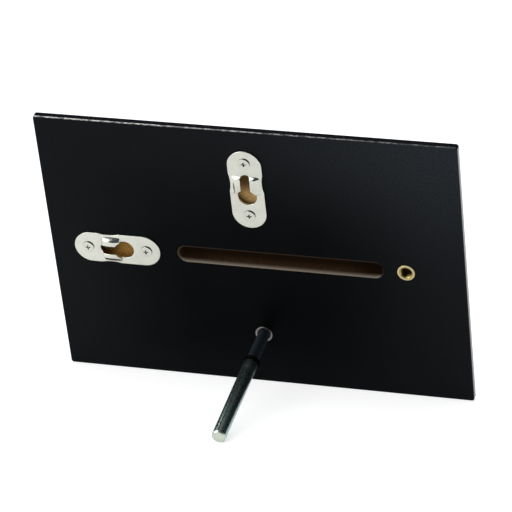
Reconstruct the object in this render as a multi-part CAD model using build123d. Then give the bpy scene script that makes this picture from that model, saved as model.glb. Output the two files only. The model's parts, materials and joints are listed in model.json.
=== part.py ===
from build123d import *
import math
import os

# Photo panel that stands on its lower back edge and on a screw-in rod.
# Each piece is drawn with the panel upright: X across, Z up, Y = 0 on the back face and +Y out of the back.
# The finished pieces are then leaned back together until the rod's tip reaches the table at Z = 0.

# Board, seven by five inches, in three layers
panel_width = 177.8
panel_height = 127.0
core_thickness = 2.8
laminate_thickness = 0.2
picture_thickness = 0.2
corner_radius = 1.2
arris_chamfer = 0.35

# Groove that stores the rod, cut with a round-nosed cutter
groove_length = 88.7
groove_floor = 1.35
groove_cutter_radius = 6.0
groove_shift = 10.35

# Keyhole hangers, pressed from sheet
top_hanger_inset = 28.0
side_hanger_inset = 29.1
hanger_length = 37.5
hanger_width = 14.5
hanger_thickness = 0.8
hanger_edge_round = 0.2
waist_depth = 0.55
waist_radius = 17.0
waist_offset = 3.2

# Keyhole, with pressed-out lips beside its neck
keyhole_radius = 4.0
keyhole_offset = 3.2
neck_width = 4.0
neck_reach = 7.3
lip_rise = 1.7
lip_base_reach = 7.6
lip_base_return = 2.2
lip_base_width = 10.4
lip_base_round = 2.2
lip_top_reach = 5.0
lip_top_return = 1.2
lip_top_width = 5.0
lip_top_round = 0.6

# Pocket behind each keyhole, for the head of a wall screw
pocket_length = 19.0
pocket_width = 10.4
pocket_floor = 1.1

# Hanger screws, pan heads with a cross recess
screw_end_inset = 6.0
screw_head_radius = 2.5
screw_head_rim = 0.2
screw_dome = 0.4
screw_shank_radius = 1.1
screw_tip_length = 0.9
screw_floor = 0.6
recess_length = 1.9
recess_width = 0.5
recess_depth = 0.6
screw_clearance = 0.04

# Thread inserts, brass, M5 with 0.8 mm pitch
insert_inset = 25.0
insert_radius = 3.75
insert_floor = 0.6
insert_bore_radius = 2.15
insert_lead_in = 0.45
insert_edge_chamfer = 0.12
knurl_count = 24
knurl_depth = 0.25
knurl_band_inset = 0.6
insert_clearance = 0.02

# Stand rod
rod_radius = 3.0
rod_reach = 69.0
rod_tip_chamfer = 0.5
rod_shoulder_chamfer = 0.45
stud_length = 20.4
thread_radius = 2.5
thread_pitch = 0.8
thread_depth = 0.45
thread_crest = 0.12
thread_start_gap = 0.25
spigot_end_chamfer = 0.35
thread_clearance = 0.06
bottom_clearance = 0.1
shank_line_offset = 6.0
shank_line_width = 0.7
shank_line_depth = 0.05

# Rubber ring in its neck between the thread and the shoulder
ring_cord = 1.5
ring_neck_radius = 2.25
ring_clearance = 0.04

# Sizes that follow from the ones above
board_thickness = core_thickness + laminate_thickness + picture_thickness
groove_depth = board_thickness - groove_floor
pocket_depth = board_thickness - pocket_floor
insert_length = board_thickness - insert_floor
screw_spacing = hanger_length - 2 * screw_end_inset
screw_head_top = hanger_thickness + screw_head_rim + screw_dome
screw_tip_depth = board_thickness - screw_floor
spigot_radius = insert_bore_radius - thread_clearance
neck_length = ring_cord + 2 * ring_clearance
thread_root_radius = thread_radius - thread_depth
lean = math.degrees(
    math.atan2(insert_inset - rod_radius, rod_reach - rod_tip_chamfer + arris_chamfer)
)

# Places on the back face: local Z points out of the back, local X along the piece
out_of_back = (0, 1, 0)
lower_insert_place = Plane((0, 0, insert_inset), x_dir=(1, 0, 0), z_dir=out_of_back)
side_insert_place = Plane(
    (insert_inset - panel_width / 2, 0, panel_height / 2), x_dir=(1, 0, 0), z_dir=out_of_back
)
top_hanger_place = Plane((0, 0, panel_height - top_hanger_inset), x_dir=(0, 0, 1), z_dir=out_of_back)
side_hanger_place = Plane(
    (panel_width / 2 - side_hanger_inset, 0, panel_height / 2), x_dir=(1, 0, 0), z_dir=out_of_back
)
groove_place = Plane((-groove_shift, 0, panel_height / 2), x_dir=(1, 0, 0), z_dir=out_of_back)
insert_places = [lower_insert_place, side_insert_place]
hanger_places = [top_hanger_place, side_hanger_place]
screw_offsets = [screw_spacing / 2, -screw_spacing / 2]


def put(shape, place):
    """Move a shape from its own XY plane to a place on the back face."""
    return shape.moved(place.location)


def turned(points):
    """Solid of revolution about local Z from (radius, height) points."""
    outline = make_face(Polyline([(r, 0, h) for r, h in points], close=True))
    return revolve(outline, Axis.Z)


def screw_shank(grow):
    """Pointed shank up to the hanger's face; grow is added all round for its hole."""
    radius = screw_shank_radius + grow
    tip = -screw_tip_depth - grow
    return turned([
        (0, tip),
        (radius, tip + screw_tip_length),
        (radius, hanger_thickness),
        (0, hanger_thickness),
    ])


def hanger_screw():
    rim_top = hanger_thickness + screw_head_rim
    sides = Polyline(
        (0, 0, screw_head_top),
        (0, 0, hanger_thickness),
        (screw_head_radius, 0, hanger_thickness),
        (screw_head_radius, 0, rim_top),
    )
    dome = TangentArc((0, 0, screw_head_top), (screw_head_radius, 0, rim_top), tangent=(1, 0, 0))
    head = revolve(make_face(sides + dome), Axis.Z)
    arm = Box(recess_length, recess_width, 2 * recess_depth)
    recess = (arm + Rot(Z=90) * arm).moved(Location((0, 0, screw_head_top)))
    return head + screw_shank(0) - recess


def lip_outline(reach, back, width, rounding, height):
    """Rounded rectangle from back of the keyhole's middle to its reach along the neck."""
    middle = (reach - back) / 2
    return Pos(middle, 0, height) * RectangleRounded(reach + back, width, rounding)


def lip_form():
    """Pressed roof over the neck, from its base outline up to its narrow top."""
    base = lip_outline(lip_base_reach, lip_base_return, lip_base_width, lip_base_round, 0)
    top = lip_outline(lip_top_reach, lip_top_return, lip_top_width, lip_top_round, lip_rise)
    return loft([base, top])


def keyhole_hanger():
    waist_centre = hanger_width / 2 - waist_depth + waist_radius
    outline = SlotOverall(hanger_length, hanger_width)
    for side in (1, -1):
        outline -= Pos(waist_offset, side * waist_centre) * Circle(waist_radius)
    plate = extrude(outline, hanger_thickness)
    plate = fillet(plate.faces().sort_by(Axis.Z)[-1].edges(), hanger_edge_round)
    plate += Pos(0, 0, hanger_thickness) * lip_form()
    plate -= lip_form()
    neck_end = neck_reach - neck_width / 2
    keyhole = Pos(-keyhole_offset, 0) * Circle(keyhole_radius)
    keyhole += Pos((neck_end - keyhole_offset) / 2, 0) * Rectangle(neck_end + keyhole_offset, neck_width)
    keyhole += Pos(neck_end, 0) * Circle(neck_width / 2)
    plate -= extrude(keyhole, hanger_thickness + 2 * lip_rise)
    for offset in screw_offsets:
        plate -= Pos(offset, 0, 0) * screw_shank(screw_clearance)
    return plate


def groove_cutter():
    """Round-nosed cutter's path: a rod with ball ends, sunk to the groove's depth."""
    half_width = math.sqrt(2 * groove_cutter_radius * groove_depth - groove_depth**2)
    run = groove_length - 2 * half_width
    height = groove_cutter_radius - groove_depth
    path = Rot(Y=90) * Cylinder(groove_cutter_radius, run)
    for end in (run / 2, -run / 2):
        path += Pos(end, 0, 0) * Sphere(groove_cutter_radius)
    return path.moved(Location((0, 0, height)))


def pocket_cutter():
    pocket = extrude(SlotOverall(pocket_length, pocket_width), 2 * pocket_depth)
    return pocket.moved(Location((0, 0, -pocket_depth)))


def board_blank():
    """All three layers as one block, with softened arrises and every cut made."""
    face = RectangleRounded(panel_width, panel_height, corner_radius)
    blank = extrude(face, board_thickness)
    ends = blank.faces().sort_by(Axis.Z)
    blank = chamfer(ends[0].edges() + ends[-1].edges(), arris_chamfer)
    middle = Plane((0, -board_thickness, panel_height / 2), x_dir=(1, 0, 0), z_dir=out_of_back)
    blank = put(blank, middle)
    blank -= put(groove_cutter(), groove_place)
    insert_hole = Cylinder(insert_radius + insert_clearance, 2 * insert_length)
    for place in insert_places:
        blank -= put(insert_hole, place)
    for place in hanger_places:
        blank -= put(pocket_cutter(), place)
        for offset in screw_offsets:
            blank -= put(Pos(offset, 0, 0) * screw_shank(screw_clearance), place)
    return blank


def layer(blank, front, back):
    """Slice of the board between two depths below the back face."""
    slab = Box(2 * panel_width, back - front, 2 * panel_height)
    return blank & slab.moved(Location((0, (front + back) / 2, panel_height / 2)))


def thread_insert():
    rim = insert_radius - insert_edge_chamfer
    sleeve = turned([
        (insert_bore_radius, -insert_length),
        (rim, -insert_length),
        (insert_radius, insert_edge_chamfer - insert_length),
        (insert_radius, -insert_edge_chamfer),
        (rim, 0),
        (insert_bore_radius + insert_lead_in, 0),
        (insert_bore_radius, -insert_lead_in),
    ])
    band = insert_length - 2 * knurl_band_inset
    tooth_gap = Rot(Z=45) * Box(knurl_depth * math.sqrt(2), knurl_depth * math.sqrt(2), band)
    for step in range(knurl_count):
        turn = Rot(Z=step * 360 / knurl_count)
        sleeve -= turn * Pos(insert_radius, 0, -insert_length / 2) * tooth_gap
    return sleeve


def screw_thread():
    """Helical ridge of the rod's thread, with its root sunk into the stud."""
    sink = thread_clearance
    root_half = (thread_pitch - thread_crest) / 2
    crest_half = thread_crest / 2
    turns_length = stud_length - neck_length - thread_start_gap - 2 * root_half
    path = Helix(thread_pitch, turns_length, thread_root_radius)
    start = Plane(origin=path @ 0, x_dir=(1, 0, 0), z_dir=path % 0)
    ridge = Polygon(
        (-sink, -root_half),
        (thread_depth, -crest_half),
        (thread_depth, crest_half),
        (-sink, root_half),
        align=None,
    )
    ridge = sweep(start * ridge, path=path, is_frenet=True)
    return ridge.moved(Location((0, 0, thread_start_gap + root_half)))


def stand_rod():
    spigot_end = bottom_clearance - insert_length
    neck_start = stud_length - neck_length
    line_start = stud_length + shank_line_offset
    core = turned([
        (0, spigot_end),
        (spigot_radius - spigot_end_chamfer, spigot_end),
        (spigot_radius, spigot_end + spigot_end_chamfer),
        (spigot_radius, thread_start_gap),
        (thread_root_radius, thread_start_gap),
        (thread_root_radius, neck_start),
        (ring_neck_radius, neck_start),
        (ring_neck_radius, stud_length),
        (rod_radius - rod_shoulder_chamfer, stud_length),
        (rod_radius, stud_length + rod_shoulder_chamfer),
        (rod_radius, line_start),
        (rod_radius - shank_line_depth, line_start + shank_line_width / 2),
        (rod_radius, line_start + shank_line_width),
        (rod_radius, rod_reach - rod_tip_chamfer),
        (rod_radius - rod_tip_chamfer, rod_reach),
        (0, rod_reach),
    ])
    return core + screw_thread()


def rod_ring():
    ring_radius = ring_neck_radius + ring_clearance + ring_cord / 2
    ring_height = stud_length - ring_clearance - ring_cord / 2
    return Pos(0, 0, ring_height) * Torus(ring_radius, ring_cord / 2)


def upright_pieces():
    blank = board_blank()
    back_of_core = -laminate_thickness
    front_of_core = back_of_core - core_thickness
    pieces = {
        "core_board": layer(blank, front_of_core, back_of_core),
        "back_laminate": layer(blank, back_of_core, 0),
        "picture_sheet": layer(blank, -board_thickness, front_of_core),
        "lower_thread_insert": put(thread_insert(), lower_insert_place),
        "side_thread_insert": put(thread_insert(), side_insert_place),
        "stand_rod": put(stand_rod(), lower_insert_place),
        "rod_ring": put(rod_ring(), lower_insert_place),
    }
    hanger_names = ["top", "side"]
    screw_names = ["outer", "inner"]
    for hanger_name, place in zip(hanger_names, hanger_places):
        pieces[hanger_name + "_keyhole_hanger"] = put(keyhole_hanger(), place)
        for screw_name, offset in zip(screw_names, screw_offsets):
            node = hanger_name + "_hanger_" + screw_name + "_screw"
            pieces[node] = put(Pos(offset, 0, 0) * hanger_screw(), place)
    return pieces


def standing(pieces):
    """Lean every piece back, then put the lowest point on Z = 0 and the box's middle on the origin."""
    leaned = {name: Rot(X=-lean) * piece for name, piece in pieces.items()}
    box = Compound(list(leaned.values())).bounding_box()
    shift = Pos(-box.center().X, -box.center().Y, -box.min.Z)
    return {name: shift * piece for name, piece in leaned.items()}, shift


os.makedirs("parts", exist_ok=True)
placed, stand_shift = standing(upright_pieces())
for node, piece in placed.items():
    export_step(piece, os.path.join("parts", node + ".step"))

print("lean", round(lean, 4), "degrees, groove depth", round(groove_depth, 3))
for label, place in (
    ("lower insert", lower_insert_place),
    ("side insert", side_insert_place),
    ("top hanger", top_hanger_place),
    ("side hanger", side_hanger_place),
):
    spot = (stand_shift * Rot(X=-lean) * Location(place.origin)).position
    print(label, [round(value, 4) for value in spot])
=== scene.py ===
import json
import math

import bmesh
import bpy
from mathutils import Matrix, Quaternion, Vector
from mathutils.geometry import delaunay_2d_cdt


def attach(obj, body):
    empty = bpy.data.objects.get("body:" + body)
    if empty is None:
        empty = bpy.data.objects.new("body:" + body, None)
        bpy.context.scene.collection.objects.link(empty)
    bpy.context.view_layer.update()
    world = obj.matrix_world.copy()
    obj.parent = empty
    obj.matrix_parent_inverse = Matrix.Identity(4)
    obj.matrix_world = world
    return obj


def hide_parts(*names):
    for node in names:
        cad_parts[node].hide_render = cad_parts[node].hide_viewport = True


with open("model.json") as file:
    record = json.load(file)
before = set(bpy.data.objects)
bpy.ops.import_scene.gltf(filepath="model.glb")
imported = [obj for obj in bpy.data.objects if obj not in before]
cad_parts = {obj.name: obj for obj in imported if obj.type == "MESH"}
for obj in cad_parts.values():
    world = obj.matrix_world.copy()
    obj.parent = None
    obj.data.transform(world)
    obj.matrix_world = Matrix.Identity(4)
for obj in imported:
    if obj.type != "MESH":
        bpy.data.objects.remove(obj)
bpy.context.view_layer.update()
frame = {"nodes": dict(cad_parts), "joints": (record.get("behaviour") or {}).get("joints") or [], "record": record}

# The panel's own axes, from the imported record: across, up the back, and out of the back
MM = 0.001
joints = {joint["name"]: joint for joint in frame["joints"]}
mounts = {mount["name"]: mount for mount in frame["record"]["mounts"]}
across = Vector((1, 0, 0))
out = Vector(joints["rod_unscrew"]["axis"])
up = across.cross(out)
lean = math.atan2(-out.z, out.y)
rod_foot = Vector(joints["rod_unscrew"]["pos_m"])


def extent(node, axis):
    """Lowest and highest reach of a CAD node along an axis, measured from the rod's foot."""
    reach = [(vertex.co - rod_foot).dot(axis) for vertex in frame["nodes"][node].data.vertices]
    return min(reach), max(reach)


panel_left, panel_right = extent("core_board", across)
panel_bottom, panel_top = extent("core_board", up)
panel_middle = (panel_bottom + panel_top) / 2

# Sizes shared with the solids, in metres
arris = 0.35 * MM
groove_shift = -10.35 * MM
groove_half_length = 44.35 * MM
groove_half_width = 4.33 * MM
hanger_length = 37.5 * MM
hanger_width = 14.5 * MM
hanger_thickness = 0.8 * MM
hanger_seat = 5.3 * MM
screw_offset = 12.75 * MM
insert_radius = 3.75 * MM
insert_length = 2.6 * MM
thread_pitch = 0.8 * MM
side_thread_depth = 1.5 * MM


def place(origin, along, outward):
    """Matrix of a piece whose local X runs along the panel and local Z points outward."""
    turn = Matrix((along, outward.cross(along), outward)).transposed().to_4x4()
    return Matrix.Translation(origin) @ turn


top_seat = Vector(mounts["top_keyhole"]["pos_m"])
side_seat = Vector(mounts["side_keyhole"]["pos_m"])
top_hanger_place = place(top_seat - hanger_seat * up - hanger_thickness * out, up, out)
side_hanger_place = place(side_seat - hanger_seat * across - hanger_thickness * out, across, out)
lower_insert_place = place(rod_foot, across, out)
side_insert_place = place(Vector(mounts["side_thread"]["pos_m"]) + side_thread_depth * out, across, out)


# Where most of a noise's values lie
noise_reach = (0.3, 0.7)


class Graph:
    """Short hand for a material's nodes."""

    def __init__(self, name):
        self.material = bpy.data.materials.new(name)
        self.material.use_nodes = True
        self.tree = self.material.node_tree
        self.tree.nodes.clear()
        self.shader = self.node("ShaderNodeBsdfPrincipled")
        output = self.node("ShaderNodeOutputMaterial")
        self.link(self.shader.outputs[0], output.inputs["Surface"])

    def node(self, kind, **settings):
        made = self.tree.nodes.new(kind)
        for key, value in settings.items():
            setattr(made, key, value)
        return made

    def link(self, source, target):
        self.tree.links.new(source, target)

    def feed(self, target, value):
        """Set a socket to a number or colour, or link it to another socket."""
        if isinstance(value, bpy.types.NodeSocket):
            self.link(value, target)
        else:
            target.default_value = value

    def local(self):
        """Place on the piece in its own axes, in metres."""
        return self.node("ShaderNodeTexCoord").outputs["Object"]

    def on_panel(self):
        """Place on a CAD node in the panel's axes: x across, y out of the back, z up from the rod's foot."""
        mapping = self.node("ShaderNodeMapping", vector_type="TEXTURE")
        mapping.inputs["Location"].default_value = rod_foot
        mapping.inputs["Rotation"].default_value = (-lean, 0, 0)
        self.link(self.local(), mapping.inputs["Vector"])
        return mapping.outputs[0]

    def stretched(self, vector, scale):
        """Place scaled by axis, so that a noise on it is squeezed along the larger ones."""
        mapping = self.node("ShaderNodeMapping")
        mapping.inputs["Scale"].default_value = scale
        self.link(vector, mapping.inputs["Vector"])
        return mapping.outputs[0]

    def parts_of(self, vector):
        """The three coordinates of a place."""
        split = self.node("ShaderNodeSeparateXYZ")
        self.link(vector, split.inputs[0])
        return split.outputs

    def noise(self, vector, size, detail=3.0, roughness=0.55):
        """Noise whose main features are about this size, in metres."""
        noise = self.node("ShaderNodeTexNoise")
        noise.inputs["Scale"].default_value = 1 / size
        noise.inputs["Detail"].default_value = detail
        noise.inputs["Roughness"].default_value = roughness
        self.link(vector, noise.inputs["Vector"])
        return noise.outputs["Fac"]

    def math(self, operation, first, second=0.0, third=0.0):
        made = self.node("ShaderNodeMath", operation=operation)
        for socket, value in zip(made.inputs, (first, second, third)):
            self.feed(socket, value)
        return made.outputs[0]

    def product(self, first, *others):
        """All the values multiplied together."""
        made = first
        for other in others:
            made = self.math("MULTIPLY", made, other)
        return made

    def length(self, first, second):
        """Length of a flat vector with these two parts."""
        squared = self.math("MULTIPLY", second, second)
        return self.math("SQRT", self.math("MULTIPLY_ADD", first, first, squared))

    def spread(self, noise, to_low=0.0, to_high=1.0):
        """A noise stretched from its usual reach to a range."""
        return self.span(noise, *noise_reach, to_low, to_high)

    def span(self, value, low, high, to_low=0.0, to_high=1.0):
        """Smooth step of a value from one range to another."""
        made = self.node("ShaderNodeMapRange", interpolation_type="SMOOTHSTEP")
        for key, number in zip(("From Min", "From Max", "To Min", "To Max"), (low, high, to_low, to_high)):
            made.inputs[key].default_value = number
        self.link(value, made.inputs["Value"])
        return made.outputs[0]

    def mix(self, factor, first, second):
        """Blend of two colours, each a socket or three numbers."""
        made = self.node("ShaderNodeMix", data_type="RGBA")
        self.feed(made.inputs["Factor"], factor)
        for socket, value in zip([s for s in made.inputs if s.type == "RGBA"], (first, second)):
            self.feed(socket, value if isinstance(value, bpy.types.NodeSocket) else (*value, 1))
        return next(s for s in made.outputs if s.type == "RGBA")

    def bump(self, height, depth, strength):
        """Roughen the surface by a height from 0 to 1, which stands for a depth in metres."""
        made = self.node("ShaderNodeBump")
        made.inputs["Strength"].default_value = strength
        made.inputs["Distance"].default_value = depth
        self.link(height, made.inputs["Height"])
        self.link(made.outputs[0], self.shader.inputs["Normal"])

    def set(self, **values):
        """Feed the shader's sockets, named with underscores for spaces."""
        for key, value in values.items():
            socket = self.shader.inputs[key.replace("_", " ")]
            if isinstance(value, tuple) and len(value) == 3 and socket.type == "RGBA":
                value = (*value, 1)
            self.feed(socket, value)


def from_edge(graph, spot):
    """Distance from the panel's outline, in metres."""
    x, _, z = graph.parts_of(spot)
    to_side = graph.math("SUBTRACT", panel_right, graph.math("ABSOLUTE", x))
    to_bottom = graph.math("SUBTRACT", z, panel_bottom)
    to_top = graph.math("SUBTRACT", panel_top, z)
    return graph.math("MINIMUM", to_side, graph.math("MINIMUM", to_bottom, to_top))


def from_point(graph, spot, point):
    """Distance along the panel from a point of the model, in metres."""
    x, _, z = graph.parts_of(spot)
    beside = graph.math("SUBTRACT", x, (point - rod_foot).dot(across))
    above = graph.math("SUBTRACT", z, (point - rod_foot).dot(up))
    return graph.length(beside, above)


def arris_wear_and_highlight(graph, spot):
    """How far the back's arris is rubbed pale and painted with a highlight: most on the top arris and towards one
    end, where the light falls, patchy along it.
    """
    x, y, z = graph.parts_of(spot)
    near = graph.span(from_edge(graph, spot), 1.1 * arris, 0.8 * arris)
    at_back = graph.span(y, -1.3 * arris, -1.0 * arris)
    top = graph.span(z, panel_top - 2 * arris, panel_top - arris, 0.15, 1.0)
    along = graph.span(x, panel_left, panel_right, 0.22, 1.0)
    scuffs = graph.noise(graph.stretched(spot, (1, 4, 4)), 2.2 * MM, 4, 0.7)
    patches = graph.span(scuffs, 0.42, 0.6, 0.12, 1.0)
    return graph.product(near, at_back, top, along, patches)


# Colour of the rubbed back arris, which also serves as a painted highlight there
rubbed_and_lit_tone = (0.70, 0.69, 0.67)


def black_laminate():
    """Satin black film with a painted sheen, a reflection painted into its colour, which is thin in the middle and
    strongest in one upper corner.
    """
    graph = Graph("black_laminate")
    spot = graph.on_panel()
    x, _, z = graph.parts_of(spot)
    cloud = graph.spread(graph.noise(spot, 45 * MM, 2))
    tone = graph.mix(cloud, (0.0006, 0.0008, 0.0010), (0.0016, 0.0019, 0.0024))
    # Painted sheen: faint in the middle and towards the bottom, stronger towards the edges and the top
    clear_across = graph.span(graph.math("ABSOLUTE", x), panel_right, 0.25 * panel_right)
    clear_top = graph.span(z, panel_top, panel_top - 60 * MM)
    clear_bottom = graph.span(z, panel_bottom, panel_bottom + 25 * MM, 0.6, 1.0)
    clear = graph.product(clear_across, clear_top, clear_bottom)
    painted_sheen = graph.math("MULTIPLY_ADD", clear, -0.92, 1.0)
    sheen_mottle = graph.spread(graph.noise(spot, 0.9 * MM, 3), 0.7, 1.0)
    corner = graph.product(graph.span(x, panel_right, panel_left), graph.span(z, panel_bottom, panel_top))
    level = graph.math("MULTIPLY_ADD", graph.math("POWER", corner, 3.0), 0.72, 0.28)
    # Painted reflection laid over the black, strongest towards one upper corner
    tone = graph.mix(graph.product(painted_sheen, sheen_mottle, level), tone, (0.0269, 0.0310, 0.0362))
    specks = graph.span(graph.noise(spot, 0.5 * MM, 2), 0.66, 0.74, 0.0, 0.35)
    tone = graph.mix(specks, tone, (0.010, 0.010, 0.011))
    # Rubbed back arris, with a painted highlight on it
    tone = graph.mix(arris_wear_and_highlight(graph, spot), tone, rubbed_and_lit_tone)
    rough = graph.span(graph.noise(spot, 12 * MM, 4), 0.25, 0.75, 0.32, 0.42)
    graph.set(Base_Color=tone, Roughness=rough, Specular_IOR_Level=0.03)
    graph.bump(graph.noise(spot, 0.35 * MM, 3), 0.02 * MM, 0.4)
    return graph.material


def in_groove(graph, spot):
    """1 in the routed groove, and 0 elsewhere on the board."""
    x, _, z = graph.parts_of(spot)
    along = graph.math("ABSOLUTE", graph.math("SUBTRACT", x, groove_shift))
    beside = graph.math("ABSOLUTE", graph.math("SUBTRACT", z, panel_middle))
    in_length = graph.span(along, groove_half_length + MM, groove_half_length + 0.5 * MM)
    in_width = graph.span(beside, groove_half_width + MM, groove_half_width + 0.5 * MM)
    return graph.product(in_length, in_width)


def scorched_and_shaded_fibre(graph, spot, grain):
    """Fibre burnt by the cutter in the groove, with painted light and shade: darkest above and towards the right
    end, painted lighter towards the lower rim and the left end, and pale cut rims that carry painted highlights,
    brightest on the lower rim.
    """
    x, y, z = graph.parts_of(spot)
    lower = graph.math("DIVIDE", graph.math("SUBTRACT", panel_middle, z), groove_half_width)
    to_left = graph.math("DIVIDE", graph.math("SUBTRACT", x, groove_shift), groove_half_length)
    # Painted light: lighter towards the lower rim and the left end, darker above and at the right end
    painted_light = graph.product(
        graph.span(lower, -0.2, 0.6, 0.25, 1.0),
        graph.span(to_left, -0.95, -0.6, 0.1, 1.0),
        graph.span(to_left, 0.85, 0.55, 0.4, 1.0),
    )
    painted_light = graph.math("MAXIMUM", painted_light, graph.span(to_left, 0.92, 1.0))
    dark = graph.mix(grain, (0.003, 0.0013, 0.0002), (0.008, 0.0037, 0.0008))
    warm = graph.mix(grain, (0.012, 0.0058, 0.0029), (0.038, 0.0195, 0.0100))
    tone = graph.mix(painted_light, dark, warm)
    all_round = graph.span(y, -0.8 * MM, -0.3 * MM, 0.0, 0.7)
    upper = graph.product(graph.span(lower, -0.5, -0.9), graph.span(y, -1.7 * MM, -0.6 * MM, 0.0, 0.9))
    left = graph.product(graph.span(to_left, 0.9, 0.97), graph.span(y, -1.0 * MM, -0.4 * MM, 0.0, 0.9))
    below = graph.product(graph.span(lower, 0.42, 0.97), graph.span(y, -1.5 * MM, -0.3 * MM, 0.0, 0.9))
    # Pale cut rims, with painted highlights that are brightest on the lower rim and the left end
    rims = (
        (all_round, (0.032, 0.022, 0.015)),
        (upper, (0.055, 0.038, 0.028)),
        (left, (0.10, 0.082, 0.063)),
        (below, (0.22, 0.185, 0.142)),
    )
    for share, rim_tone in rims:
        tone = graph.mix(share, tone, rim_tone)
    return tone


def pocket_fibre(graph, spot, grain):
    """Tan fibre behind the hangers, painted lighter towards the top, with painted shade round the seats, on the
    floors of the bored holes and below the top hole's rim, where the plate shades it.
    """
    _, y, z = graph.parts_of(spot)
    tone = graph.mix(grain, (0.34, 0.17, 0.036), (0.62, 0.345, 0.092))
    flecks = graph.span(graph.noise(spot, 0.5 * MM, 2), 0.54, 0.64)
    tone = graph.mix(flecks, tone, (0.14, 0.06, 0.012))
    pale = graph.mix(grain, (0.60, 0.36, 0.125), (0.95, 0.64, 0.26))
    # Painted light: lighter towards the top
    tone = graph.mix(graph.span(z, panel_middle, panel_top - 35 * MM, 0.0, 0.8), tone, pale)
    # Painted shade on the floors of the holes
    hole_floor_shade = graph.span(y, -2.3 * MM, -2.5 * MM)
    tone = graph.mix(hole_floor_shade, tone, (0.028, 0.017, 0.010))
    # Painted shade round the seats, under the raised lips
    for seat, reach in ((top_seat, 10 * MM), (side_seat, 7.5 * MM)):
        neck_shade = graph.span(from_point(graph, spot, seat), reach, reach / 3, 0.0, 0.8)
        tone = graph.mix(neck_shade, tone, (0.09, 0.045, 0.010))
    # Painted shadow below the top hole's rim, where the plate overhangs the fibre
    hole = top_seat + (keyhole_centre.x - hanger_seat) * up
    away = from_point(graph, spot, hole)
    at_rim = graph.product(graph.span(away, 4.4 * MM, 5.4 * MM), graph.span(away, 14 * MM, 10 * MM))
    above = graph.math("SUBTRACT", z, (hole - rod_foot).dot(up))
    below = graph.span(above, -0.5 * MM, -2.5 * MM, 0.0, 0.85)
    return graph.mix(graph.product(at_rim, below), tone, (0.05, 0.027, 0.008))


def hardboard():
    """Cut fibreboard: tan in the pockets and scorched in the groove, both with painted light and shade, lacquered
    black on the outer edges, with a painted highlight on the rubbed back arris.
    """
    graph = Graph("hardboard")
    spot = graph.on_panel()
    fibres = graph.noise(graph.stretched(spot, (1, 1, 2.5)), 0.9 * MM, 5, 0.7)
    grain = graph.spread(fibres)
    bare = pocket_fibre(graph, spot, grain)
    burnt = scorched_and_shaded_fibre(graph, spot, grain)
    tone = graph.mix(in_groove(graph, spot), bare, burnt)
    lacquer = graph.span(from_edge(graph, spot), 1.2 * MM, 0.8 * MM)
    tone = graph.mix(lacquer, tone, (0.003, 0.003, 0.0033))
    # Rubbed back arris, with a painted highlight on it
    tone = graph.mix(arris_wear_and_highlight(graph, spot), tone, rubbed_and_lit_tone)
    rough = graph.spread(graph.noise(spot, 3 * MM, 3), 0.5, 0.65)
    rough = graph.product(rough, graph.math("MULTIPLY_ADD", lacquer, -0.8, 1.0))
    graph.set(Base_Color=tone, Roughness=rough, Specular_IOR_Level=0.01)
    graph.set(Coat_Weight=lacquer, Coat_Roughness=0.05)
    graph.bump(fibres, 0.06 * MM, 0.5)
    return graph.material


def print_face():
    """Gloss white coating that takes the print, with the faint peel of a sprayed surface."""
    graph = Graph("print_face")
    spot = graph.on_panel()
    tone = graph.mix(graph.noise(spot, 30 * MM, 2), (0.84, 0.84, 0.82), (0.88, 0.88, 0.87))
    edge = graph.span(from_edge(graph, spot), 0.5 * MM, 0.3 * MM)
    tone = graph.mix(edge, tone, (0.02, 0.02, 0.021))
    rough = graph.spread(graph.noise(spot, 9 * MM, 3), 0.06, 0.10)
    graph.set(Base_Color=tone, Roughness=rough)
    graph.bump(graph.noise(spot, 2.2 * MM, 2), 0.01 * MM, 0.35)
    return graph.material


def plated(graph, spot, tone, rough_low, rough_high):
    """Bright plated steel with faint rolling lines along the strip."""
    lines = graph.noise(graph.stretched(spot, (0.15, 2.5, 1)), 0.5 * MM, 4)
    rough = graph.spread(lines, rough_low, rough_high)
    graph.set(Base_Color=tone, Metallic=1.0, Roughness=rough)
    graph.bump(graph.noise(spot, 0.8 * MM, 3), 0.004 * MM, 0.5)
    return graph.material


def plate_nickel():
    """Plated sheet with faint stains."""
    graph = Graph("nickel_plate")
    spot = graph.local()
    stain = graph.span(graph.noise(spot, 5 * MM, 3), 0.35, 0.75)
    tone = graph.mix(stain, (0.74, 0.745, 0.665), (0.68, 0.685, 0.605))
    return plated(graph, spot, tone, 0.10, 0.18)


def screw_nickel():
    """Plated head with painted shade in its recess and on its side wall, told from the dome by how deep it lies.
    """
    graph = Graph("nickel_screw")
    spot = graph.local()
    x, y, z = graph.parts_of(spot)
    stain = graph.span(graph.noise(spot, 1.5 * MM, 3), 0.35, 0.75)
    tone = graph.mix(stain, (0.72, 0.725, 0.645), (0.66, 0.66, 0.58))
    beside = graph.math("MAXIMUM", graph.math("ABSOLUTE", x), graph.math("ABSOLUTE", y))
    middle = graph.span(beside, 1.2 * recess_half_length, recess_half_length)
    sunk = graph.span(z, head_rim + 0.7 * head_dome, head_rim + 0.2 * head_dome)
    wall = graph.span(z, head_rim + 0.75 * head_dome, head_rim + 0.5 * head_dome)
    # Painted shade in the cross recess and on the head's side wall
    recess_and_wall_shade = graph.math("MAXIMUM", graph.product(middle, sunk), graph.math("SUBTRACT", wall, middle))
    tone = graph.mix(recess_and_wall_shade, tone, (0.10, 0.10, 0.095))
    return plated(graph, spot, tone, 0.12, 0.22)


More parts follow.
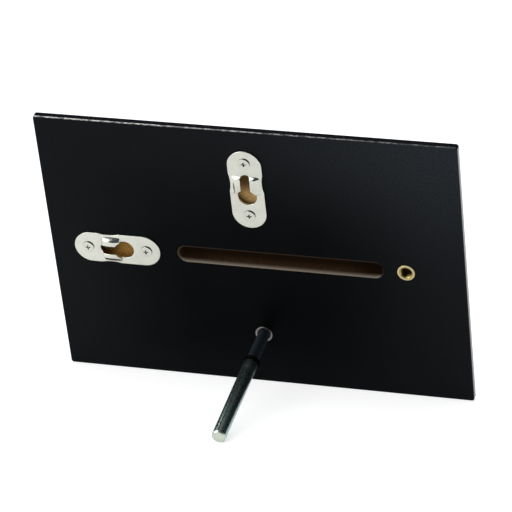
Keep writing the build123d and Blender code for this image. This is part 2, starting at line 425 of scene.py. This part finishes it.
def turned(graph, spot, axis, tone, rough_low, rough_high, ring_size, dulled=0.0):
    """Metal cut on a lathe: fine rings along the axis and across the end faces, rougher where dulled."""
    parts = list(graph.parts_of(spot))
    along = parts.pop(axis)
    rings = graph.node("ShaderNodeCombineXYZ")
    graph.link(graph.length(*parts), rings.inputs["X"])
    graph.link(along, rings.inputs["Z"])
    feed_marks = graph.noise(rings.outputs[0], ring_size, 2)
    scuffs = graph.math("MULTIPLY", graph.noise(spot, 0.7 * MM, 4), 0.6)
    rough = graph.spread(graph.math("MULTIPLY_ADD", feed_marks, 0.4, scuffs), rough_low, rough_high)
    rough = graph.math("MULTIPLY_ADD", dulled, 0.35, rough)
    graph.set(Base_Color=tone, Metallic=1.0, Roughness=rough)
    graph.bump(feed_marks, 0.002 * MM, 0.4)
    return graph.material


def turned_brass(name, clean, smudged, bore_shade_tone):
    """Brass with a bright rim, painted darker towards the bore and with painted shade down in it."""
    graph = Graph(name)
    spot = graph.local()
    x, y, z = graph.parts_of(spot)
    smudge = graph.span(graph.noise(spot, 1.5 * MM, 3), 0.35, 0.7)
    tone = graph.mix(smudge, clean, smudged)
    # Painted shade towards the bore
    shade_to_bore = graph.span(graph.length(x, y), bore_radius + MM, bore_radius + 0.65 * MM, 0.0, 0.85)
    tone = graph.mix(shade_to_bore, tone, bore_shade_tone)
    # Painted shade down in the bore
    shade_in_bore = graph.span(z, -0.7 * lead_in, -1.2 * lead_in)
    tone = graph.mix(shade_in_bore, tone, (0.09, 0.06, 0.012))
    return turned(graph, spot, 2, tone, 0.30, 0.40, 0.08 * MM)


def turned_steel():
    """Bright shank and tip, a dark stud, and painted shade on the shank that darkens it towards the shoulder."""
    graph = Graph("rod_steel")
    spot = graph.on_panel()
    reach = graph.parts_of(spot)[1]
    smudge = graph.span(graph.noise(spot, 3 * MM, 4), 0.35, 0.7)
    tone = graph.mix(smudge, (0.57, 0.74, 0.72), (0.47, 0.64, 0.62))
    # Painted shade on the shank, growing towards the shoulder by the panel
    shank_shade = graph.span(reach, line_start + 3 * MM, stud_end, 0.0, 0.7)
    tone = graph.mix(shank_shade, tone, (0.26, 0.31, 0.32))
    on_tip = graph.span(reach, rod_reach - 0.7 * MM, rod_reach - 0.3 * MM)
    tone = graph.mix(on_tip, tone, (0.665, 0.725, 0.63))
    on_stud = graph.span(reach, stud_end, stud_end - 0.5 * MM)
    tone = graph.mix(on_stud, tone, (0.022, 0.029, 0.036))
    return turned(graph, spot, 1, tone, 0.24, 0.34, 0.07 * MM, on_stud)


def rubber():
    """Matt black rubber with a fine skin."""
    graph = Graph("rubber")
    spot = graph.local()
    tone = graph.mix(graph.noise(spot, 0.6 * MM, 4), (0.0008, 0.0008, 0.0010), (0.0022, 0.0022, 0.0026))
    rough = graph.spread(graph.noise(spot, 1.2 * MM, 3), 0.5, 0.68)
    graph.set(Base_Color=tone, Roughness=rough, Specular_IOR_Level=0.02)
    graph.bump(graph.noise(spot, 0.2 * MM, 3), 0.01 * MM, 0.5)
    return graph.material


# Sharpest bend that is shaded smooth, steps of a search along a ray, and how near points become one
crease_angle = math.radians(35)
halvings = 30
merge_distance = 1e-9


def piece(name, mesh, where, body, node, material):
    """Link a finished mesh as a piece that stands for a CAD node and rides on its body."""
    made = bpy.data.objects.new(name, mesh)
    bpy.context.scene.collection.objects.link(made)
    made.matrix_world = where
    for polygon in mesh.polygons:
        polygon.use_smooth = True
    mesh.set_sharp_from_angle(angle=crease_angle)
    mesh.materials.append(material)
    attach(made, body)
    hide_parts(node)


def contour(inside, centre, steps, reach):
    """Closed loop of points where a star-shaped field changes sign, found along rays from its centre."""
    loop = []
    for step in range(steps):
        angle = 2 * math.pi * step / steps
        ray = Vector((math.cos(angle), math.sin(angle)))
        near, far = 0.0, reach
        for _ in range(halvings):
            middle = (near + far) / 2
            if inside(centre + middle * ray):
                near = middle
            else:
                far = middle
        loop.append(centre + near * ray)
    return loop


def sheet_triangles(loops, fill, keep):
    """Points and triangles of a flat sheet bounded by closed loops, with extra points inside."""
    points = []
    edges = []
    for loop in loops:
        first = len(points)
        points += loop
        edges += [(first + i, first + (i + 1) % len(loop)) for i in range(len(loop))]
    points += fill
    found, _, faces, *_ = delaunay_2d_cdt(points, edges, [], 0, merge_distance)
    kept = []
    for face in faces:
        middle = sum((found[i] for i in face), Vector((0, 0))) / len(face)
        if keep(middle):
            kept.append(face)
    return found, kept


def grid_points(half_x, half_y, step, keep):
    """Staggered grid of points that pass a test."""
    points = []
    rows = int(half_y / step)
    columns = int(half_x / step)
    for row in range(-rows, rows + 1):
        for column in range(-columns, columns + 1):
            point = Vector(((column + 0.5 * (row % 2)) * step, row * step))
            if keep(point):
                points.append(point)
    return points


def steps_between(low, high, size):
    """Evenly spaced values from one end to the other, about this far apart."""
    count = max(1, round(abs(high - low) / size))
    return [low + (high - low) * i / count for i in range(count + 1)]


def slot_distance(point, half_length, half_width):
    """Signed distance from a round-ended slot along X: negative inside."""
    straight = half_length - half_width
    over = Vector((max(abs(point.x) - straight, 0), point.y))
    return over.length - half_width


# Hanger's outline and pressing, about the plate's middle with the neck along +X
waist_depth = 0.55 * MM
waist_radius = 17.0 * MM
waist_offset = 3.2 * MM
keyhole_centre = Vector((-3.2 * MM, 0))
keyhole_radius = 4.0 * MM
neck_half_width = 2.0 * MM
lip_rise = 1.7 * MM
lip_crest = 3.3 * MM
lip_foot = 6.7 * MM
lip_start = -2.1 * MM
lip_full = -1.4 * MM
lip_fall = 5.7 * MM
lip_end = 6.9 * MM
lip_arch = 0.22
edge_round = 0.22 * MM
edge_shares = (0.0, 0.12, 0.4, 1.0)
outline_steps = 360
keyhole_steps = 480
plate_grid = 0.22 * MM


def plate_distance(point):
    """Signed distance from the hanger's waisted outline: negative on the plate."""
    strip = slot_distance(point, hanger_length / 2, hanger_width / 2)
    waist_y = hanger_width / 2 - waist_depth + waist_radius
    bite = Vector((point.x - waist_offset, abs(point.y) - waist_y)).length - waist_radius
    return max(strip, -bite)


def keyhole_distance(point):
    """Signed distance from the keyhole: negative in the hole."""
    round_end = (point - keyhole_centre).length - keyhole_radius
    neck_x = min(max(point.x, keyhole_centre.x), hanger_seat)
    neck = (point - Vector((neck_x, 0))).length - neck_half_width
    return min(round_end, neck)


def smooth(value):
    """Smooth step from 0 to 1."""
    value = min(max(value, 0.0), 1.0)
    return value * value * (3 - 2 * value)


def lip_share(point):
    """Place on a lip, from 0 on its crest to 1 along its foot, which rounds off past the seat."""
    beside = max(abs(point.y) - lip_crest, 0.0) / (lip_foot - lip_crest)
    past = max(point.x - lip_fall, 0.0) / (lip_end - lip_fall)
    return math.hypot(beside, past)


def lip_height(point):
    """How far a lip stands out: S-shaped flanks, arched along the neck and cut off at the round hole."""
    crown = lip_rise * (1 + math.cos(math.pi * min(lip_share(point), 1.0))) / 2
    middle = (lip_full + lip_fall) / 2
    crown *= 1 - lip_arch * ((point.x - middle) / (lip_fall - middle)) ** 2
    return crown * smooth((point.x - lip_start) / (lip_full - lip_start))


def rounded_drop(from_rim):
    """How far a rounded edge falls away this near to the rim."""
    short = max(edge_round - from_rim, 0.0)
    return edge_round - math.sqrt(max(edge_round**2 - short**2, 0.0))


def hanger_mesh():
    """Pressed plate: a waisted strip with a keyhole and smooth lips raised beside its neck."""
    insets = [share * edge_round for share in edge_shares]
    outer = [
        contour(lambda p: plate_distance(p) < -inset, Vector((0, 0)), outline_steps, hanger_length)
        for inset in insets
    ]
    hole = [
        contour(lambda p: keyhole_distance(p) < inset, keyhole_centre / 2, keyhole_steps, hanger_length)
        for inset in insets
    ]

    def on_sheet(point, margin=0.0):
        return plate_distance(point) < -margin and keyhole_distance(point) > margin

    clear = edge_round + plate_grid / 3
    fill = grid_points(hanger_length / 2, hanger_width / 2, plate_grid, lambda p: on_sheet(p, clear))
    points, faces = sheet_triangles(outer + hole, fill, on_sheet)
    mesh = bmesh.new()
    top = []
    bottom = []
    for point in points:
        lift = lip_height(point)
        rim = min(-plate_distance(point), keyhole_distance(point))
        top.append(mesh.verts.new((*point, hanger_thickness + lift - rounded_drop(max(rim, 0.0)))))
        bottom.append(mesh.verts.new((*point, lift)))
    for face in faces:
        mesh.faces.new([top[i] for i in face])
        mesh.faces.new([bottom[i] for i in reversed(face)])
    bridge_rims(mesh, top, bottom)
    return finished(mesh, "hanger")


def bridge_rims(mesh, top, bottom):
    """Join the free rims of a sheet's two faces with a wall."""
    below = {id(vertex): other for vertex, other in zip(top, bottom)}
    upper = {id(vertex) for vertex in top}
    for edge in [edge for edge in mesh.edges if edge.is_boundary and id(edge.verts[0]) in upper]:
        first, second = edge.verts
        mesh.faces.new((second, first, below[id(first)], below[id(second)]))


def finished(mesh, name):
    """Drop loose points, turn the faces outward and hand back a mesh."""
    loose = [vertex for vertex in mesh.verts if not vertex.link_faces]
    bmesh.ops.delete(mesh, geom=loose, context="VERTS")
    bmesh.ops.recalc_face_normals(mesh, faces=mesh.faces)
    made = bpy.data.meshes.new(name)
    mesh.to_mesh(made)
    mesh.free()
    return made


def spun(rows, steps, name, closed=False):
    """Mesh of rings about Z: each row gives (radius, height) at an angle, and capped ends if not closed."""
    mesh = bmesh.new()
    rings = []
    for row in rows:
        ring = []
        for step in range(steps):
            angle = 2 * math.pi * step / steps
            radius, height = row(angle)
            ring.append(mesh.verts.new((radius * math.cos(angle), radius * math.sin(angle), height)))
        rings.append(ring)
    pairs = list(zip(rings, rings[1:]))
    if closed:
        pairs.append((rings[-1], rings[0]))
    for lower, upper in pairs:
        for step in range(steps):
            after = (step + 1) % steps
            mesh.faces.new((lower[step], lower[after], upper[after], upper[step]))
    if not closed:
        for ring in (rings[0], rings[-1]):
            middle = mesh.verts.new((0, 0, ring[0].co.z))
            for step in range(steps):
                mesh.faces.new((ring[step], ring[(step + 1) % steps], middle))
    return finished(mesh, name)


# Pan-head screw, with its seat at the hanger's face
head_radius = 2.5 * MM
head_rim = 0.2 * MM
head_dome = 0.4 * MM
head_crown = 0.05 * MM
head_round = 0.1 * MM
shank_radius = 1.1 * MM
shank_length = 3.4 * MM
shank_tip = 0.9 * MM
shank_point = 0.1 * shank_radius
recess_half_length = 1.1 * MM
recess_half_width = 0.32 * MM
recess_depth = 0.6 * MM
recess_taper = 0.22 * MM
head_steps = 96
head_grid = 0.16 * MM
head_grid_reach = 0.8 * head_radius
head_round_shares = (0.0, 0.03, 0.12, 0.25, 0.45, 0.7, 1.0)
recess_shares = (0.0, 0.3, 0.7)


def recess_distance(point):
    """Signed distance from the cross recess, near enough: negative inside."""
    far = max(abs(point.x), abs(point.y))
    near = min(abs(point.x), abs(point.y))
    return max(far - recess_half_length, near - recess_half_width)


def screw_mesh():
    """Domed head with a tapered cross recess, on a pointed shank."""

    def head_height(point):
        share = min(point.length / head_radius, 1.0)
        over = max(share * head_radius - (head_radius - head_round), 0.0)
        drop = head_crown * share**2 + head_round - math.sqrt(head_round**2 - over**2)
        sunk = recess_depth * smooth(-recess_distance(point) / recess_taper)
        return head_rim + head_dome - drop - sunk

    centre = Vector((0, 0))
    circles = [
        contour(lambda p: p.length < head_radius - share * head_round, centre, head_steps, head_radius)
        for share in head_round_shares
    ]
    cross = [
        contour(lambda p: recess_distance(p) < -share * recess_taper, centre, 2 * head_steps, head_radius)
        for share in recess_shares
    ]
    fill = grid_points(head_radius, head_radius, head_grid, lambda p: p.length < head_grid_reach)
    points, faces = sheet_triangles(circles + cross, fill, lambda p: True)
    mesh = bmesh.new()
    top = [mesh.verts.new((*point, head_height(point))) for point in points]
    for face in faces:
        mesh.faces.new([top[i] for i in face])
    rim = top[:head_steps]
    shank_rings = [
        (head_radius, 0.0),
        (shank_radius, 0.0),
        (shank_radius, shank_tip - shank_length),
        (shank_point, -shank_length),
    ]
    for radius, height in shank_rings:
        ring = [mesh.verts.new((*(radius * v.co.xy.normalized()), height)) for v in rim]
        for step in range(head_steps):
            after = (step + 1) % head_steps
            mesh.faces.new((rim[step], ring[step], ring[after], rim[after]))
        rim = ring
    mesh.faces.new(rim)
    return finished(mesh, "screw")


# Thread of the rod and the inserts, as a ridge that climbs one pitch a turn
thread_root = 2.05 * MM
thread_depth = 0.45 * MM
bore_radius = 2.15 * MM
bore_depth = 0.41 * MM
lead_in = 0.45 * MM
thread_fade = 0.3 * MM
rim_chamfer = 0.12 * MM
knurl_count = 24
knurl_depth = 0.2 * MM
knurl_inset = 0.6 * MM
knurl_row = 0.15 * MM
thread_steps = 96
rows_per_pitch = 12
crest_level = 1.35
flank_slope = 2.9


def ridge(angle, height):
    """Share of full thread height at a place on the helix, from 0 at the root to 1 at the crest."""
    phase = (height / thread_pitch - angle / (2 * math.pi)) % 1.0
    return min(max(crest_level - flank_slope * abs(phase - 0.5), 0.0), 1.0)


def insert_mesh(empty):
    """Knurled insert with a countersunk rim and a cut thread, which fades in below the rim if empty."""

    def knurl(angle, height):
        tooth = abs((angle * knurl_count / (2 * math.pi)) % 1.0 - 0.5) * 2
        banded = -insert_length + knurl_inset < height < -knurl_inset
        return insert_radius - (knurl_depth * (1 - tooth) if banded else 0.0)

    def bore(angle, height):
        fade = smooth((-height - lead_in) / thread_fade) if empty else 1.0
        cut = bore_radius + bore_depth * ridge(angle, height) * fade
        return max(cut, bore_radius + lead_in + height)

    rows = [lambda a: (insert_radius - rim_chamfer, -insert_length)]
    for height in steps_between(rim_chamfer - insert_length, -rim_chamfer, knurl_row):
        rows.append(lambda a, h=height: (knurl(a, h), h))
    rows.append(lambda a: (insert_radius - rim_chamfer, 0.0))
    for height in steps_between(0.0, -insert_length, thread_pitch / rows_per_pitch):
        rows.append(lambda a, h=height: (bore(a, h), h))
    return spun(rows, thread_steps, "insert", closed=True)


# Stand rod, measured out from the back face
rod_radius = 3.0 * MM
rod_reach = 69.0 * MM
rod_start = -2.5 * MM
stud_end = 20.4 * MM
neck_start = 18.82 * MM
line_start = 26.4 * MM
line_width = 0.7 * MM
line_depth = 0.05 * MM
neck_radius = 2.25 * MM
run_out = 0.5 * MM
start_radius = 1.75 * MM
shoulder_chamfer = 0.45 * MM
tip_chamfer = 0.5 * MM


def rod_mesh():
    """Turned rod: a threaded stud, a neck for the ring, and a plain shank with a chamfered tip."""

    def stud(angle, height):
        fade = smooth((neck_start - height) / run_out)
        cut = thread_root + thread_depth * ridge(angle, height) * fade
        return min(cut, start_radius + height - rod_start)

    rows = []
    for height in steps_between(rod_start, neck_start, thread_pitch / rows_per_pitch):
        rows.append(lambda a, h=height: (stud(a, h), h))
    profile = [
        (neck_radius, neck_start),
        (neck_radius, stud_end),
        (rod_radius - shoulder_chamfer, stud_end),
        (rod_radius, stud_end + shoulder_chamfer),
        (rod_radius, line_start),
        (rod_radius - line_depth, line_start + line_width / 2),
        (rod_radius, line_start + line_width),
        (rod_radius, rod_reach - tip_chamfer),
        (rod_radius - tip_chamfer, rod_reach),
    ]
    for radius, height in profile:
        rows.append(lambda a, r=radius, h=height: (r, h))
    return spun(rows, thread_steps, "rod")


# Finishes of the CAD nodes that stay
cad_finishes = {
    "core_board": hardboard(),
    "back_laminate": black_laminate(),
    "picture_sheet": print_face(),
    "rod_ring": rubber(),
}
for node, material in cad_finishes.items():
    mesh = frame["nodes"][node].data
    mesh.materials.clear()
    mesh.materials.append(material)

plate_finish = plate_nickel()
screw_finish = screw_nickel()
# The lower insert's brass is a copy painted darker and greyer for the shade of the rod, with near-black painted
# shade by the stud
brass_finishes = {
    "lower": turned_brass("brass_shaded_copy", (0.35, 0.34, 0.31), (0.25, 0.24, 0.22), (0.020, 0.020, 0.019)),
    "side": turned_brass("brass", (0.72, 0.61, 0.36), (0.62, 0.50, 0.26), (0.43, 0.33, 0.10)),
}
steel_finish = turned_steel()

for side, where in (("top", top_hanger_place), ("side", side_hanger_place)):
    piece(side + "_pressed_hanger", hanger_mesh(), where, "panel", side + "_keyhole_hanger",
          plate_finish)
    for end, offset in (("outer", screw_offset), ("inner", -screw_offset)):
        seat = where @ Matrix.Translation((offset, 0, hanger_thickness))
        piece(f"{side}_{end}_pan_screw", screw_mesh(), seat, "panel", f"{side}_hanger_{end}_screw",
              screw_finish)

for side, where in (("lower", lower_insert_place), ("side", side_insert_place)):
    piece(side + "_threaded_insert", insert_mesh(side == "side"), where, "panel", side + "_thread_insert",
          brass_finishes[side])
rod = rod_mesh()
rod.transform(lower_insert_place)
piece("threaded_stand_rod", rod, Matrix.Identity(4), "stand_rod", "stand_rod", steel_finish)


# Camera at the photograph's angle
camera_aim = Vector((-5.16, 0.0, 67.81)) * MM
camera_distance = 1.2827
camera_azimuth = math.radians(196.64)
camera_elevation = math.radians(18.51)
camera_roll = math.radians(-0.45)
camera_lens = 222.0
camera_sensor = 36.0
camera_clip = (0.05, 50)

# Floor, which ends close behind the panel on one side, where the metal then mirrors the dim room
floor_corners = [(-2, -3, 0), (2, -3, 0), (2, 3.8, 0), (-0.1, 0.17, 0), (-2, 0.17, 0)]
floor_grey = (0.74, 0.74, 0.74)
floor_to_camera = 0.58
floor_to_metal = 0.26

# Lamps, all aimed at one point: place, size and power
lamp_aim = Vector((0, 0, 0.06))
lamps = {
    "key": (Vector((0.98, 0.92, 0.80)), (1.2, 1.5), 16),
    "above": (Vector((0.0, 0.2, 1.4)), (1.2, 1.0), 7),
    "front": (Vector((0.2, -1.4, 1.0)), (1.0, 0.8), 8),
}

# Room, as light on the object and as the metal mirrors it
room_tint = (0.95, 0.97, 1.0, 1)
room_strength = 0.35
mirrored_tint = (0.05, 0.062, 0.08, 1)
white = (1, 1, 1, 1)


def add_camera():
    """Camera aimed at the panel, rolled a little about its line of sight."""
    data = bpy.data.cameras.new("camera")
    data.lens = camera_lens
    data.sensor_width = camera_sensor
    data.clip_start, data.clip_end = camera_clip
    made = bpy.data.objects.new("camera", data)
    bpy.context.scene.collection.objects.link(made)
    level = math.cos(camera_elevation)
    back = Vector((
        math.sin(camera_azimuth) * level,
        -math.cos(camera_azimuth) * level,
        math.sin(camera_elevation),
    ))
    made.location = camera_aim + camera_distance * back
    made.rotation_mode = "QUATERNION"
    made.rotation_quaternion = Quaternion(back, camera_roll) @ (-back).to_track_quat("-Z", "Y")
    bpy.context.scene.camera = made


def add_floor():
    """Pale floor that keeps the shadow, and shows white to the camera and in the metal."""
    mesh = bpy.data.meshes.new("floor")
    mesh.from_pydata(floor_corners, [], [range(len(floor_corners))])
    made = bpy.data.objects.new("floor", mesh)
    bpy.context.scene.collection.objects.link(made)
    graph = Graph("floor")
    graph.set(Base_Color=floor_grey, Roughness=0.9, Specular_IOR_Level=0.0)
    path = graph.node("ShaderNodeLightPath")
    to_camera = graph.math("MULTIPLY", path.outputs["Is Camera Ray"], floor_to_camera)
    to_metal = graph.math("MULTIPLY", path.outputs["Is Glossy Ray"], floor_to_metal)
    graph.set(Emission_Color=white, Emission_Strength=graph.math("ADD", to_camera, to_metal))
    mesh.materials.append(graph.material)


def add_lamp(name, where, size, power):
    """Soft rectangular lamp that the camera doesn't see."""
    data = bpy.data.lights.new(name, "AREA")
    data.shape = "RECTANGLE"
    data.size, data.size_y = size
    data.energy = power
    made = bpy.data.objects.new(name, data)
    bpy.context.scene.collection.objects.link(made)
    made.location = where
    made.rotation_mode = "QUATERNION"
    made.rotation_quaternion = (lamp_aim - where).to_track_quat("-Z", "Y")
    made.visible_camera = False


def add_world():
    """White to the camera, a soft room for light, and a dim room in the metal."""
    world = bpy.data.worlds.new("world")
    bpy.context.scene.world = world
    world.use_nodes = True
    tree = world.node_tree
    tree.nodes.clear()
    output = tree.nodes.new("ShaderNodeOutputWorld")
    shown = tree.nodes.new("ShaderNodeBackground")
    room = tree.nodes.new("ShaderNodeBackground")
    mirrored = tree.nodes.new("ShaderNodeBackground")
    in_metal = tree.nodes.new("ShaderNodeMixShader")
    choose = tree.nodes.new("ShaderNodeMixShader")
    path = tree.nodes.new("ShaderNodeLightPath")
    shown.inputs["Color"].default_value = white
    room.inputs["Color"].default_value = room_tint
    room.inputs["Strength"].default_value = room_strength
    mirrored.inputs["Color"].default_value = mirrored_tint
    tree.links.new(path.outputs["Is Glossy Ray"], in_metal.inputs["Fac"])
    tree.links.new(room.outputs[0], in_metal.inputs[1])
    tree.links.new(mirrored.outputs[0], in_metal.inputs[2])
    tree.links.new(path.outputs["Is Camera Ray"], choose.inputs["Fac"])
    tree.links.new(in_metal.outputs[0], choose.inputs[1])
    tree.links.new(shown.outputs[0], choose.inputs[2])
    tree.links.new(choose.outputs[0], output.inputs["Surface"])


add_camera()
add_floor()
for lamp, (where, size, power) in lamps.items():
    add_lamp(lamp, where, size, power)
add_world()

bpy.context.scene.view_settings.view_transform = "Standard"
